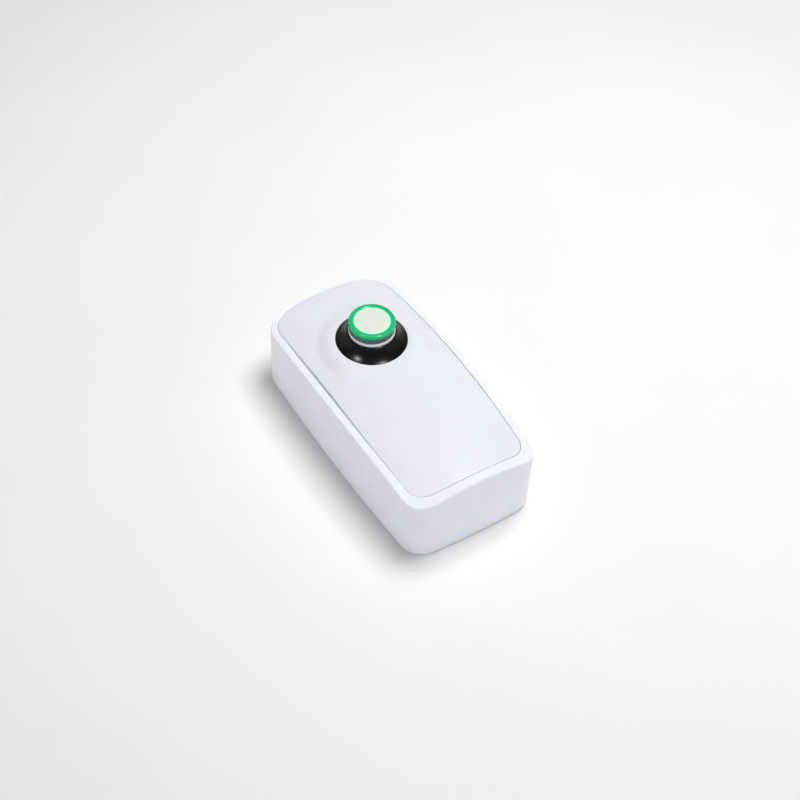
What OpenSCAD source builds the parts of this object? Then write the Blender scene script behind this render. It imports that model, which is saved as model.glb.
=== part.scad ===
// Pedestrian push button: a deep moulded housing with a crowned front, an inset
// front panel, and an illuminated button in a flared collar near one end.
// Millimetres. Z runs out of the front, Y runs towards the button, and the
// origin is the middle of the back face.

/* [Housing] */
// Length of the housing
body_l = 210; // [176:1:252]
// Width of the housing where it is widest
body_w = 109.2; // [90:0.2:132]
// Height of the crowned front in the middle of the housing
body_h = 66.1; // [54:0.1:78]
// Radius of the front's crown across the width
crown_rx = 115; // [105:1:400]
// Radius of the front's crown along the length
crown_ry = 645; // [500:1:1600]
// Radius of the bowed long sides
side_r = 1782; // [900:1:3000]
// Distance of the widest place from the middle, towards the button
widest_y = 16.2; // [0:0.1:24]
// Radius of the end away from the button
near_end_r = 595; // [400:1:3000]
// Radius of the end beside the button
far_end_r = 900; // [150:1:2000]
// Corner radius at the end away from the button
near_corner_r = 17.4; // [13:0.1:22]
// Corner radius at the end beside the button
far_corner_r = 18; // [14:0.1:26]
// Thickness of the side walls
wall_t = 5; // [4:0.1:6]
// Thickness of the front wall behind the panel
front_t = 3.2; // [2.6:0.1:4]
// Radius of the round between the rim and the walls
rim_round = 1.6; // [1:0.1:2.4]
// Radius of the round at the back edge
back_round = 1.8; // [1:0.1:2]

/* [Front panel] */
// Thickness of the panel
panel_t = 2.2; // [1.6:0.1:3]
// Width of the groove round the panel
groove_w = 0.6; // [0.4:0.1:1]
// Width of the rim beside the panel's long sides
rim_side = 5.9; // [4:0.1:8]
// Width of the rim at the panel's ends, on average
rim_end = 5; // [4.6:0.1:8]
// Distance of the panel's middle from the housing's, towards the button
panel_shift = 2.6; // [0:0.1:2.8]
// How far the rim's outer edge stands above the crown's line
rim_lift = 1.3; // [0:0.1:2]
// Radius of the push-fit pegs
peg_r = 2.95; // [2:0.05:4]

/* [Back plate] */
// Thickness of the back plate
plate_t = 3.2; // [2.8:0.1:5]
// Radius of the two mounting holes
mount_hole_r = 3.25; // [2.2:0.05:4.2]
// Distance between the two mounting holes
mount_spacing = 150; // [110:1:170]
// Radius of the cable bore in the grommet
cable_r = 4; // [2.5:0.1:6]
// Distance from the middle to the cable grommet, away from the button
cable_y = 30; // [20:1:40]
// Thickness of the perimeter seal
seal_t = 1.2; // [0.8:0.1:2]

/* [Button] */
// Distance of the button's axis from the middle
button_y = 38.2; // [28:0.1:42]
// Radius of the collar's foot
collar_r = 25.8; // [22:0.1:30]
// Height of the collar's flare
collar_h = 8.2; // [6:0.1:12]
// Radius of the collar's mouth
collar_mouth_r = 17.6; // [17.4:0.1:20]
// Radius of the white trim ring
trim_r = 16.7; // [15.8:0.05:16.9]
// Height of the trim ring above the collar
trim_h = 2.4; // [1.6:0.1:5]
// Height of the dark band between the trim ring and the green ring
band_h = 4.5; // [2.6:0.1:5.5]
// Radius of the green cap ring
cap_r = 16.8; // [15.8:0.05:17]
// Height of the green cap ring
cap_h = 3.3; // [2.4:0.1:4]
// Radius of the lens
lens_r = 13.2; // [11:0.1:13.4]
// Travel of the button
travel = 1.8; // [1:0.1:2.2]
// Radius of the plunger
plunger_r = 10.1; // [9:0.1:11]
// Radius of the threaded barrel
barrel_r = 13; // [12.4:0.1:15.6]

/* [Switch and board] */
// Distance of the switch's middle from the button's axis
switch_x = 17; // [16.8:0.1:19]
// Distance from the lever's pivot to where the foot presses it
lever_reach = 18.5; // [16:0.1:21]
// Distance from the lever's pivot to the switch pin
pin_reach = 6.5; // [5:0.1:8]
// Length of the circuit board
board_l = 64; // [58:1:70]
// Width of the circuit board
board_w = 60; // [56:1:66]
// Thickness of the circuit board
board_t = 1.6; // [1:0.1:2]

/* [Hidden] */
$fn = 64;

// Clearances
slide_gap = 0.1;     // running fit of the plunger and of the cap's skirt, on the radius
seat_gap = 0.1;      // loose seat of one round piece in another, on the radius
panel_gap = 0.3;     // between the panel and the wall behind it
plate_gap = 0.2;     // round the back plate
stop_gap = 0.05;     // between the foot and the barrel at rest
press_gap = 0.1;     // left at the full press, and between foot, lever and pin
tower_gap = 0.3;     // between the housing's bosses and the back plate's towers
pass_gap = 0.15;     // between the panel's opening and the collar

// Outlines: [length, width, widest_y, side_r, near_end_r, far_end_r,
// near_corner_r, far_corner_r, shift_y]
HOUSING = [body_l, body_w, widest_y, side_r, near_end_r, far_end_r,
    near_corner_r, far_corner_r, 0];
GROOVE = [body_l - 2 * rim_end, body_w - 2 * rim_side, 14.5, 1336, 266, 887, 14.9, 15.4,
    panel_shift];
ARC_STEPS = [2, 8, 6, 8, 6];  // near end, near corner, side, far corner, far end

// Front levels, measured where the crown is highest
floor_h = body_h - panel_t - panel_gap;
ceiling_h = floor_h - front_t;
rim_edge_h = body_h + rim_lift;
rim_turn = 62;                // angle through which the rim's round turns
CAP_STEPS = [0.78, 0.52, 0.26];

// Back levels
rebate_in = wall_t - 1.8;
ledge_z = plate_t + seal_t;
spigot_in = wall_t + 0.6;
spigot_t = 2;
spigot_top = plate_t + 3.8;
tower_r = 6;
tower_top = 14;
mount_pad_r = 10;
mount_pad_z = plate_t + 1.8;

// Screws that hold the housing to the back plate
screw_x = body_w / 2 - 17.8;
screw_y = body_l / 2 - 23;
screw_r = 2;
screw_head_r = 3.8;
screw_head_h = 2.6;
screw_seal_t = 0.8;
insert_r = 2.8;
insert_l = 8;
boss_r = 6.5;
head_seat = floor_h - crown([screw_x, screw_y]) - 9;
screw_tip = tower_top - insert_l + 2;

// Panel pegs
peg_x = body_w / 2 - 14;
peg_y = body_l / 2 - 45;
peg_socket_r = peg_r + 2;
peg_foot = floor_h - crown([peg_x, peg_y]) - 4.4;

// Button levels, from the front wall out
pad_r = collar_r + 1.9;
seat_z = floor_h - crown([pad_r, button_y]) - 1.1;
pad_t = 4;
gasket_t = 0.8;
collar_z = seat_z + gasket_t;
collar_edge_z = body_h - crown([0, button_y - collar_r]) + 0.1;
panel_seat_z = collar_edge_z - 0.3;  // flat seat that the panel swells to round the collar
panel_seat_r = collar_r + 1.7;
panel_seat_h = 8.8;     // how far down the swelling reaches
panel_swell_w = 12.8;   // how far out it reaches
collar_top = collar_edge_z + collar_h;
trim_seat_depth = 4.2;
shoulder_z = collar_top - trim_seat_depth;
trim_top = collar_top + trim_h;
trim_floor = shoulder_z + 2.5;
cap_top = trim_top + band_h;
cap_disc_t = 2;
cap_under = cap_top - cap_disc_t;
skirt_r = trim_r - 0.8;
skirt_t = 1.3;
skirt_foot = trim_floor + travel + press_gap;
ring_top = cap_top + cap_h;
lens_seat_z = cap_top + 1.1;
lens_edge_z = ring_top - 0.35;
lens_rise = 0.6;

// Button levels, from the front wall in
washer_t = 1.2;
nut_h = 6;
nut_flats = 34;
thread_below_nut = 2.4;
pad_z = seat_z - pad_t;
barrel_foot = pad_z - washer_t - nut_h - thread_below_nut;
bore_r = barrel_r + 0.2;
wiper_r = 0.9;
wiper_z = shoulder_z - 2;
plunger_t = 1.7;
spigot_r = plunger_r - 0.8;
foot_top = barrel_foot - stop_gap;
foot_h = 4.05;
foot_z = foot_top - foot_h;
foot_ring_r = plunger_r + 2.4;
nub_r = 1.5;
nub_drop = 0.7;
clip_h = 1.2;
clip_r = plunger_r + 1.2;
clip_groove_r = plunger_r - 0.6;
plunger_foot = foot_z - clip_h - 0.9;

// Return spring, round the plunger and inside the skirt
spring_wire_r = 0.5;
spring_r = (plunger_r + skirt_r - skirt_t) / 2;
spring_turns = 3.5;
spring_sides = 8;
spring_steps = 84;
spring_low = trim_floor + spring_wire_r;
spring_high = cap_under - spring_wire_r;

// Switch and board
lever_t = 0.5;
lever_w = 3.8;
lever_tip = 1.8;
lever_z = foot_z - press_gap - lever_t;
case_top = foot_z - 2.9;
case_h = 15.4;
case_w = 10.3;
case_l = 27.8;
cover_t = 1.2;
pivot_y = button_y - lever_reach;
case_y = pivot_y - 3;
eye_r = 1.2;
axle_r = 0.5;
axle_gap = 0.06;
pivot_z = lever_z + lever_t - eye_r;
ear_t = 1;
ear_gap = 0.5;
pin_r = 1;
pin_gap = 0.06;
pin_y = pivot_y + pin_reach;
board_top = case_top - case_h;
board_z = board_top - board_t;
board_y = button_y - board_l / 2 - 0.7;
standoff_r = 3.2;
board_screw_r = 1.5;
board_hole_in = 4;
lamp_r = 7.2;
lamp_top = shoulder_z - 7;
lamp_board_t = 1.6;
led_r = 1.5;
led_h = 3;
leg_r = 0.6;
leg_hole_r = 0.8;

// Fall of the crowned front at a place in the XY plane
function crown(p) = p.x * p.x / (2 * crown_rx) + p.y * p.y / (2 * crown_ry);

// Angle of a vector
function heading(v) = atan2(v.y, v.x);

// Points of an arc, without its last one
function arc(c, r, from, to, steps) =
    [for (i = [0:steps - 1]) let (a = from + (to - from) * i / steps) c + r * [cos(a), sin(a)]];

// Centre of the circle of radius r that touches a side circle and an end circle from inside
function corner_centre(side_c, side_radius, end_c, end_radius, r) =
    let (
        a = side_radius - r,
        b = end_radius - r,
        v = end_c - side_c,
        d = norm(v),
        u = v / d,
        t = (a * a - b * b + d * d) / (2 * d),
        h = sqrt(a * a - t * t),
        p = side_c + u * t + [-u.y, u.x] * h,
        q = side_c + u * t - [-u.y, u.x] * h
    )
    p.x > q.x ? p : q;

// Right half of an outline, moved in by inset, from the near end's middle to the far end's
function half_outline(s, inset) =
    let (
        side_c = [s[1] / 2 - s[3], s[2]],
        near_c = [0, s[4] - s[0] / 2],
        far_c = [0, s[0] / 2 - s[5]],
        near_k = corner_centre(side_c, s[3], near_c, s[4], s[6]),
        far_k = corner_centre(side_c, s[3], far_c, s[5], s[7]),
        a = heading(near_k - near_c),
        b = heading(near_k - side_c),
        c = heading(far_k - side_c),
        d = heading(far_k - far_c)
    )
    concat(
        arc(near_c, s[4] - inset, -90, a, ARC_STEPS[0]),
        arc(near_k, s[6] - inset, a, b, ARC_STEPS[1]),
        arc(side_c, s[3] - inset, b, c, ARC_STEPS[2]),
        arc(far_k, s[7] - inset, c, d, ARC_STEPS[3]),
        arc(far_c, s[5] - inset, d, 90, ARC_STEPS[4]),
        [[0, s[0] / 2 - inset]]
    );

// Whole outline, counter-clockwise
function outline(s, inset) =
    let (half = half_outline(s, inset), n = len(half))
    [for (p = concat(half, [for (i = [n - 2:-1:1]) [-half[i].x, half[i].y]])) [p.x, p.y + s[8]]];

// Rings of points: level, crowned, and shrunk towards the middle under the crown
function level(points, z) = [for (p = points) [p.x, p.y, z]];
function crowned(points, h) = [for (p = points) [p.x, p.y, h - crown(p)]];
function dome(points, h, steps) = [for (s = steps) crowned(points * s, h)];
function reversed(list) = [for (i = [len(list) - 1:-1:0]) list[i]];

// Rings of a round of radius r between a level and a wall, as [inset, height] steps
function round_steps(r, from, to, steps) =
    [for (i = [0:steps]) let (a = from + (to - from) * i / steps) [r * (1 - cos(a)), r * sin(a)]];

// Closed skin over rings, with a point at each end; each quad is split along its shorter
// diagonal, so that skins over the same rings match whichever way they run
module skin(first, rings, last) {
    n = len(rings[0]);
    m = len(rings);
    end = 1 + n * m;
    polyhedron(
        points = concat([first], [for (r = rings) each r], [last]),
        faces = concat(
            [for (i = [0:n - 1]) [0, 1 + i, 1 + (i + 1) % n]],
            [for (k = [0:m - 2], i = [0:n - 1])
                let (
                    a = 1 + k * n,
                    j = (i + 1) % n,
                    across = norm(rings[k][i] - rings[k + 1][j]),
                    back = norm(rings[k][j] - rings[k + 1][i])
                ) each across < back
                    ? [[a + i, a + n + i, a + n + j], [a + i, a + n + j, a + j]]
                    : [[a + i, a + n + i, a + j], [a + n + i, a + n + j, a + j]]],
            [for (i = [0:n - 1]) [end - n + i, end, end - n + (i + 1) % n]]
        ),
        convexity = 6
    );
}

// Flat plate or ring that follows the housing's outline
module outline_plate(inset, low, high) {
    translate([0, 0, low]) linear_extrude(high - low) polygon(outline(HOUSING, inset));
}

module outline_ring(outer, inner, low, high) {
    difference() {
        outline_plate(outer, low, high);
        outline_plate(inner, low - 1, high + 1);
    }
}

// Cylinder between two levels, at a place
module post(p, r, low, high) {
    translate([p.x, p.y, low]) cylinder(r = r, h = high - low);
}

module tube(p, outer, inner, low, high) {
    difference() {
        post(p, outer, low, high);
        post(p, inner, low - 1, high + 1);
    }
}

// Box between two corners
module block(low, high) {
    translate(low) cube(high - low);
}

// Children at four places, mirrored about both axes
module four(x, y) {
    for (sx = [-1, 1], sy = [-1, 1]) translate([sx * x, sy * y, 0]) children();
}

// Children on the button's axis
module on_button() {
    translate([0, button_y, 0]) children();
}

// Everything below the front wall's outer face, for trimming bosses
module under_front() {
    base = outline(HOUSING, wall_t - 1);
    top_h = floor_h - 0.5;
    skin([0, 0, 1], concat([level(base, 1), crowned(base, top_h)], dome(base, top_h, CAP_STEPS)),
        [0, 0, top_h]);
}

module housing_shell() {
    inner = outline(HOUSING, wall_t);
    recess = outline(GROOVE, -groove_w / 2);
    turned = round_steps(rim_round, 0, rim_turn, 4);
    turn_h = rim_edge_h - turned[4][1];
    rim_out = outline(HOUSING, turned[4][0]);
    rim_mid = [for (i = [0:len(recess) - 1]) (recess[i] + rim_out[i]) / 2];
    rings = concat(
        reversed(dome(inner, ceiling_h, CAP_STEPS)),
        [crowned(inner, ceiling_h), level(inner, ledge_z)],
        [level(outline(HOUSING, rebate_in), ledge_z), level(outline(HOUSING, rebate_in), 0)],
        [for (s = reversed(round_steps(back_round, 0, 90, 3)))
            level(outline(HOUSING, s[0]), back_round - s[1])],
        [for (s = turned) crowned(outline(HOUSING, s[0]), turn_h + s[1])],
        [crowned(rim_mid, (body_h + rim_edge_h) / 2 + 0.15), crowned(recess, body_h)],
        [crowned(recess, floor_h)],
        dome(outline(GROOVE, 0), floor_h, CAP_STEPS)
    );
    skin([0, 0, ceiling_h], rings, [0, 0, floor_h]);
}

module housing() {
    color("whitesmoke") difference() {
        union() {
            housing_shell();
            intersection() {
                under_front();
                union() {
                    on_button() post([0, 0], pad_r, pad_z, body_h);
                    four(screw_x, screw_y) post([0, 0], boss_r, tower_top + tower_gap, body_h);
                    four(peg_x, peg_y) post([0, 0], peg_socket_r, peg_foot - 2.5, body_h);
                }
            }
        }
        on_button() post([0, 0], collar_r + pass_gap, seat_z, body_h + 1);
        on_button() post([0, 0], bore_r, pad_z - 1, body_h);
        four(screw_x, screw_y) post([0, 0], screw_r + 0.3, 1, body_h);
        four(screw_x, screw_y) post([0, 0], screw_head_r + 0.8, head_seat, body_h);
        four(peg_x, peg_y) post([0, 0], peg_r + 0.05, peg_foot, body_h);
    }
}

// Everything above the panel's underside, for trimming the swelling
module over_panel(edge, under_h) {
    top = panel_seat_z + 1;
    skin([0, 0, under_h], concat(reversed(dome(outline(GROOVE, 0), under_h, CAP_STEPS)),
        [crowned(edge, under_h), level(edge, top)]), [0, 0, top]);
}

module front_panel() {
    edge = outline(GROOVE, groove_w / 2);
    soft = outline(GROOVE, groove_w / 2 + 0.35);
    under_h = body_h - panel_t;
    rings = concat(
        reversed(dome(outline(GROOVE, 0), under_h, CAP_STEPS)),
        [crowned(edge, under_h), crowned(edge, body_h - 0.35), crowned(soft, body_h)],
        dome(soft, body_h, CAP_STEPS)
    );
    color("white") difference() {
        union() {
            skin([0, 0, under_h], rings, [0, 0, body_h]);
            intersection() {
                over_panel(edge, under_h);
                on_button() translate([0, 0, panel_seat_z - panel_seat_h])
                    cylinder(r1 = panel_seat_r + panel_swell_w, r2 = panel_seat_r, h = panel_seat_h);
            }
            four(peg_x, peg_y)
                post([0, 0], peg_r, peg_foot, body_h - crown([peg_x, peg_y]) - panel_t / 2);
        }
        on_button() post([0, 0], collar_r + pass_gap, body_h - 20, body_h + 1);
    }
}

module back_plate() {
    color("gainsboro") difference() {
        union() {
            outline_plate(rebate_in + plate_gap, 0, plate_t);
            outline_ring(spigot_in, spigot_in + spigot_t, plate_t - 0.5, spigot_top);
            four(screw_x, screw_y) post([0, 0], tower_r, 1, tower_top);
            for (s = [-1, 1]) post([0, s * mount_spacing / 2], mount_pad_r, 1, mount_pad_z);
            board_corners() post([0, 0], standoff_r, 1, board_z);
        }
        four(screw_x, screw_y) post([0, 0], insert_r, tower_top - insert_l, tower_top + 1);
        for (s = [-1, 1]) post([0, s * mount_spacing / 2], mount_hole_r, -1, mount_pad_z + 1);
        post([0, -cable_y], cable_r + 3, -1, plate_t + 1);
        board_corners() post([0, 0], board_screw_r, board_z - 6, board_z + 1);
    }
}

module perimeter_seal() {
    color("dimgray")
        outline_ring(rebate_in + plate_gap + 0.1, spigot_in - plate_gap, plate_t, ledge_z);
}

module housing_screws() {
    color("silver") four(screw_x, screw_y) difference() {
        union() {
            post([0, 0], screw_r, screw_tip, head_seat + screw_seal_t + 0.5);
            post([0, 0], screw_head_r, head_seat + screw_seal_t,
                head_seat + screw_seal_t + screw_head_h);
        }
        translate([0, 0, head_seat + screw_seal_t + screw_head_h - 1.8])
            cylinder(r = 1.5, h = 3, $fn = 6);
    }
}

module screw_seals() {
    color("dimgray") four(screw_x, screw_y)
        tube([0, 0], screw_head_r - 0.1, screw_r + 0.1, head_seat, head_seat + screw_seal_t);
}

module screw_inserts() {
    color("gold") four(screw_x, screw_y)
        tube([0, 0], insert_r, screw_r, tower_top - insert_l, tower_top);
}

module cable_grommet() {
    color("black") translate([0, -cable_y, 0]) rotate_extrude() polygon([
        [cable_r, 0], [cable_r + 3, 0], [cable_r + 3, plate_t], [cable_r + 5, plate_t],
        [cable_r + 5, plate_t + 1.2], [cable_r + 2.6, plate_t + 5], [cable_r, plate_t + 5]
    ]);
}

module mount_seals() {
    color("dimgray") for (s = [-1, 1])
        tube([0, s * mount_spacing / 2], mount_pad_r - 1.5, mount_hole_r + 0.3,
            mount_pad_z, mount_pad_z + 1.5);
}

// Outer line of the collar's concave flare, from its foot to its mouth
function flare(from, to, bow, steps) = [for (i = [0:steps]) let (t = i / steps)
    (1 - t) * (1 - t) * from + 2 * t * (1 - t) * ((from + to) / 2 - bow) + t * t * to];

module guard_collar() {
    edge = 0.6;
    color([0.1, 0.1, 0.1]) on_button() rotate_extrude() polygon(concat(
        [[bore_r, collar_z], [collar_r, collar_z], [collar_r, collar_edge_z - edge]],
        flare([collar_r - edge, collar_edge_z], [collar_mouth_r, collar_top], [1, 1], 8),
        [[trim_r + seat_gap, collar_top], [trim_r + seat_gap, shoulder_z], [bore_r, shoulder_z]]
    ));
}

module collar_gasket() {
    color("dimgray") on_button() tube([0, 0], collar_r - 0.5, bore_r, seat_z, collar_z);
}

module trim_barrel() {
    soft = 0.3;
    color([0.78, 0.79, 0.82]) on_button() difference() {
        rotate_extrude() polygon([
            [plunger_r + slide_gap, barrel_foot], [barrel_r, barrel_foot], [barrel_r, shoulder_z],
            [trim_r, shoulder_z], [trim_r, trim_top - soft], [trim_r - soft, trim_top],
            [skirt_r + slide_gap, trim_top], [skirt_r + slide_gap, trim_floor],
            [plunger_r + slide_gap, trim_floor]
        ]);
        tube([0, 0], plunger_r + 2 * wiper_r + 0.1, plunger_r - 1, wiper_z - wiper_r,
            wiper_z + wiper_r);
    }
}

module barrel_washer() {
    color("silver") on_button() tube([0, 0], barrel_r + 6, bore_r, pad_z - washer_t, pad_z);
}

module barrel_nut() {
    color("gainsboro") on_button() difference() {
        translate([0, 0, pad_z - washer_t - nut_h])
            cylinder(r = nut_flats / (2 * cos(30)), h = nut_h, $fn = 6);
        post([0, 0], barrel_r, pad_z - washer_t - nut_h - 1, pad_z);
    }
}

module wiper_seal() {
    color("dimgray") on_button() translate([0, 0, wiper_z])
        rotate_extrude() translate([plunger_r + wiper_r + 0.06, 0]) circle(r = wiper_r - 0.04);
}

// Points round the spring's wire at a place along its helix
function spring_ring(t) =
    let (
        a = 360 * spring_turns * t,
        z = spring_low + (spring_high - spring_low) * t
    )
    [for (k = [0:spring_sides - 1])
        let (
            b = 360 * k / spring_sides,
            r = spring_r + spring_wire_r * cos(b)
        )
        [r * cos(a), r * sin(a), z + spring_wire_r * sin(b)]];

module return_spring() {
    rings = [for (i = [0:spring_steps]) spring_ring(i / spring_steps)];
    start = [spring_r, 0, spring_low];
    stop = [spring_r * cos(360 * spring_turns), spring_r * sin(360 * spring_turns), spring_high];
    color("silver") on_button() skin(stop, reversed(rings), start);
}

module cap_body() {
    color([0.28, 0.4, 0.42]) on_button() rotate_extrude() polygon([
        [skirt_r - skirt_t, skirt_foot], [skirt_r, skirt_foot], [skirt_r, cap_top],
        [spigot_r, cap_top], [spigot_r, cap_under], [skirt_r - skirt_t, cap_under]
    ]);
}

module cap_ring() {
    top_round = 1.3;
    low_round = 0.6;
    corner = [cap_r - top_round, ring_top - top_round];
    color([0.15, 0.76, 0.46]) on_button() rotate_extrude() polygon(concat(
        [[lens_r - 1.4, cap_top], [cap_r - low_round, cap_top], [cap_r, cap_top + low_round]],
        arc(corner, top_round, 0, 90, 5),
        [[cap_r - top_round, ring_top], [lens_r + 0.9, ring_top], [lens_r, lens_edge_z],
            [lens_r, lens_seat_z], [lens_r - 1.4, lens_seat_z]]
    ));
}

module lens() {
    steps = 6;
    color([0.92, 0.94, 0.9]) on_button() rotate_extrude() polygon(concat(
        [[0, lens_seat_z], [lens_r, lens_seat_z]],
        [for (i = [0:steps]) let (x = lens_r * (1 - i / steps))
            [x, lens_edge_z - 0.2 + lens_rise * (1 - pow(x / lens_r, 2))]]
    ));
}

module plunger() {
    hollow_r = plunger_r - plunger_t;
    color("ivory") on_button() rotate_extrude() polygon([
        [hollow_r, plunger_foot], [plunger_r, plunger_foot], [plunger_r, foot_z - clip_h],
        [clip_groove_r, foot_z - clip_h], [clip_groove_r, foot_z], [plunger_r, foot_z],
        [plunger_r, cap_under], [spigot_r, cap_under], [spigot_r, cap_top], [hollow_r, cap_top]
    ]);
}

module actuator_foot() {
    color("orange") on_button() difference() {
        union() {
            post([0, 0], foot_ring_r, foot_z, foot_top);
            block([plunger_r + 0.5, -3, foot_z + nub_drop], [switch_x + 2, 3, foot_top - 0.8]);
            translate([switch_x, 0, foot_z + nub_r]) rotate([0, 90, 0])
                cylinder(r = nub_r, h = 4, center = true);
        }
        post([0, 0], plunger_r, foot_z - 1, foot_top + 1);
    }
}

module retaining_clip() {
    color("silver") on_button() difference() {
        tube([0, 0], clip_r, clip_groove_r, foot_z - clip_h, foot_z);
        block([-clip_r - 1, -1.5, foot_z - clip_h - 1], [0, 1.5, foot_z + 1]);
    }
}

// Children at the circuit board's four corner holes
module board_corners() {
    for (s = [-1, 1], y = [board_y + board_hole_in, board_y + board_l - board_hole_in])
        translate([s * (board_w / 2 - board_hole_in), y, 0]) children();
}

// Places of the switch's legs
function switch_legs() =
    [for (i = [0:2]) [switch_x, case_y + 4 + i * (case_l - 8) / 2]];

module circuit_board() {
    color("darkgreen") difference() {
        block([-board_w / 2, board_y, board_z], [board_w / 2, board_y + board_l, board_top]);
        board_corners() post([0, 0], board_screw_r + 0.2, board_z - 1, board_top + 1);
        for (p = switch_legs()) post(p, leg_hole_r, board_z - 1, board_top + 1);
    }
}

module board_screws() {
    color("silver") board_corners() union() {
        post([0, 0], board_screw_r, board_z - 5, board_top + 0.5);
        difference() {
            post([0, 0], 2.8, board_top, board_top + 2);
            block([-3, -0.4, board_top + 1.2], [3, 0.4, board_top + 3]);
        }
    }
}

module lamp_holder() {
    color("white") on_button() difference() {
        union() {
            post([0, 0], lamp_r, board_top, board_top + 2.4);
            post([0, 0], 4.6, board_top, lamp_top);
        }
        post([0, 0], 3, board_top - 1, lamp_top + 1);
    }
}

module lamp_board() {
    color("white") on_button() post([0, 0], lamp_r, lamp_top, lamp_top + lamp_board_t);
}

module lamp_leds() {
    z = lamp_top + lamp_board_t;
    color([0.75, 0.95, 0.8]) on_button() for (p = concat([[0, 0]], arc([0, 0], 4.7, 0, 360, 6))) {
        post(p, led_r, z, z + led_h - led_r);
        translate([p.x, p.y, z + led_h - led_r]) intersection() {
            sphere(r = led_r);
            cylinder(r = led_r + 1, h = led_r + 1);
        }
    }
}

module switch_case() {
    color("dimgray") difference() {
        union() {
            block([switch_x - case_w / 2, case_y, board_top],
                [switch_x + case_w / 2 - cover_t, case_y + case_l, case_top]);
            for (s = [-1, 1]) translate([switch_x + s * (lever_w / 2 + ear_gap + ear_t / 2), 0, 0])
                block([-ear_t / 2, pivot_y - 1.5, case_top - 1],
                    [ear_t / 2, pivot_y + 1.5, pivot_z + 1.4]);
        }
        post([switch_x, pin_y], pin_r + pin_gap, case_top - 5, case_top + 1);
        translate([switch_x, pivot_y, pivot_z]) rotate([0, 90, 0])
            cylinder(r = axle_r, h = case_w, center = true);
    }
}

module switch_cover() {
    color("gray") block([switch_x + case_w / 2 - cover_t, case_y, board_top],
        [switch_x + case_w / 2, case_y + case_l, case_top]);
}

module switch_terminals() {
    color("gold") for (p = switch_legs()) post(p, leg_r, board_z - 2, board_top);
}

module switch_axle() {
    color("silver") translate([switch_x, pivot_y, pivot_z]) rotate([0, 90, 0])
        cylinder(r = axle_r, h = lever_w + 2 * (ear_gap + ear_t), center = true);
}

module switch_lever() {
    color("silver") translate([switch_x, pivot_y, 0]) difference() {
        union() {
            translate([0, 0, pivot_z]) rotate([0, 90, 0])
                cylinder(r = eye_r, h = lever_w, center = true);
            block([-lever_w / 2, 0, lever_z],
                [lever_w / 2, lever_reach + lever_tip, lever_z + lever_t]);
        }
        translate([0, 0, pivot_z]) rotate([0, 90, 0])
            cylinder(r = axle_r + axle_gap, h = lever_w + 2, center = true);
    }
}

module switch_pin() {
    color("crimson") post([switch_x, pin_y], pin_r, case_top - 3, lever_z - press_gap);
}

// Terminal block at the edge of the board nearest the cable
block_ways = 4;
way_w = 5.1;
block_x = -board_w / 2 + 9;
block_y = board_y + 2;
block_d = 9;
block_h = 11;

function way_x(i) = block_x + way_w * (i + 0.5);

module terminal_block() {
    color("seagreen") difference() {
        block([block_x, block_y, board_top],
            [block_x + block_ways * way_w, block_y + block_d, board_top + block_h]);
        for (i = [0:block_ways - 1]) {
            block([way_x(i) - 1.8, block_y - 1, board_top + 1.5],
                [way_x(i) + 1.8, block_y + 6, board_top + 5.5]);
            post([way_x(i), block_y + 4.5], 1.9, board_top + 5, board_top + block_h + 1);
        }
    }
}

module terminal_clamps() {
    color("silver") for (i = [0:block_ways - 1]) difference() {
        post([way_x(i), block_y + 4.5], 1.8, board_top + 5.5, board_top + block_h - 0.8);
        block([way_x(i) - 2, block_y + 4.2, board_top + block_h - 1.6],
            [way_x(i) + 2, block_y + 4.8, board_top + block_h]);
    }
}

module relay() {
    color("royalblue") translate([-board_w / 2 + 3, board_y + board_l - 24, board_top])
        block([0, 0, 0], [12, 15, 12]);
}

module capacitors() {
    color("navy") for (x = [6.5, 17])
        post([x, board_y + board_l - 9], 4.4, board_top, board_top + 11);
}

module board_chips() {
    color([0.15, 0.15, 0.15]) {
        translate([-22, button_y - 8, board_top]) block([0, 0, 0], [8, 10, 1.8]);
        translate([6, block_y + 1, board_top]) block([0, 0, 0], [10, 6, 1.8]);
        translate([-9, board_y + board_l - 10, board_top]) block([0, 0, 0], [7, 5, 2.4]);
    }
}

housing();
front_panel();
back_plate();
perimeter_seal();
housing_screws();
screw_seals();
screw_inserts();
cable_grommet();
mount_seals();
guard_collar();
collar_gasket();
trim_barrel();
barrel_washer();
barrel_nut();
wiper_seal();
return_spring();
cap_body();
cap_ring();
lens();
plunger();
actuator_foot();
retaining_clip();
circuit_board();
board_screws();
lamp_holder();
lamp_board();
lamp_leds();
switch_case();
switch_cover();
switch_terminals();
switch_axle();
switch_lever();
switch_pin();
terminal_block();
terminal_clamps();
relay();
capacitors();
board_chips();
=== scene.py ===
"""Pedestrian push button: looks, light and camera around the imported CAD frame.

Lengths are metres in the row's frame: Z runs out of the front, Y runs towards the button.
"""
import math

import bmesh
import bpy
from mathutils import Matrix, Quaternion, Vector


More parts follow.
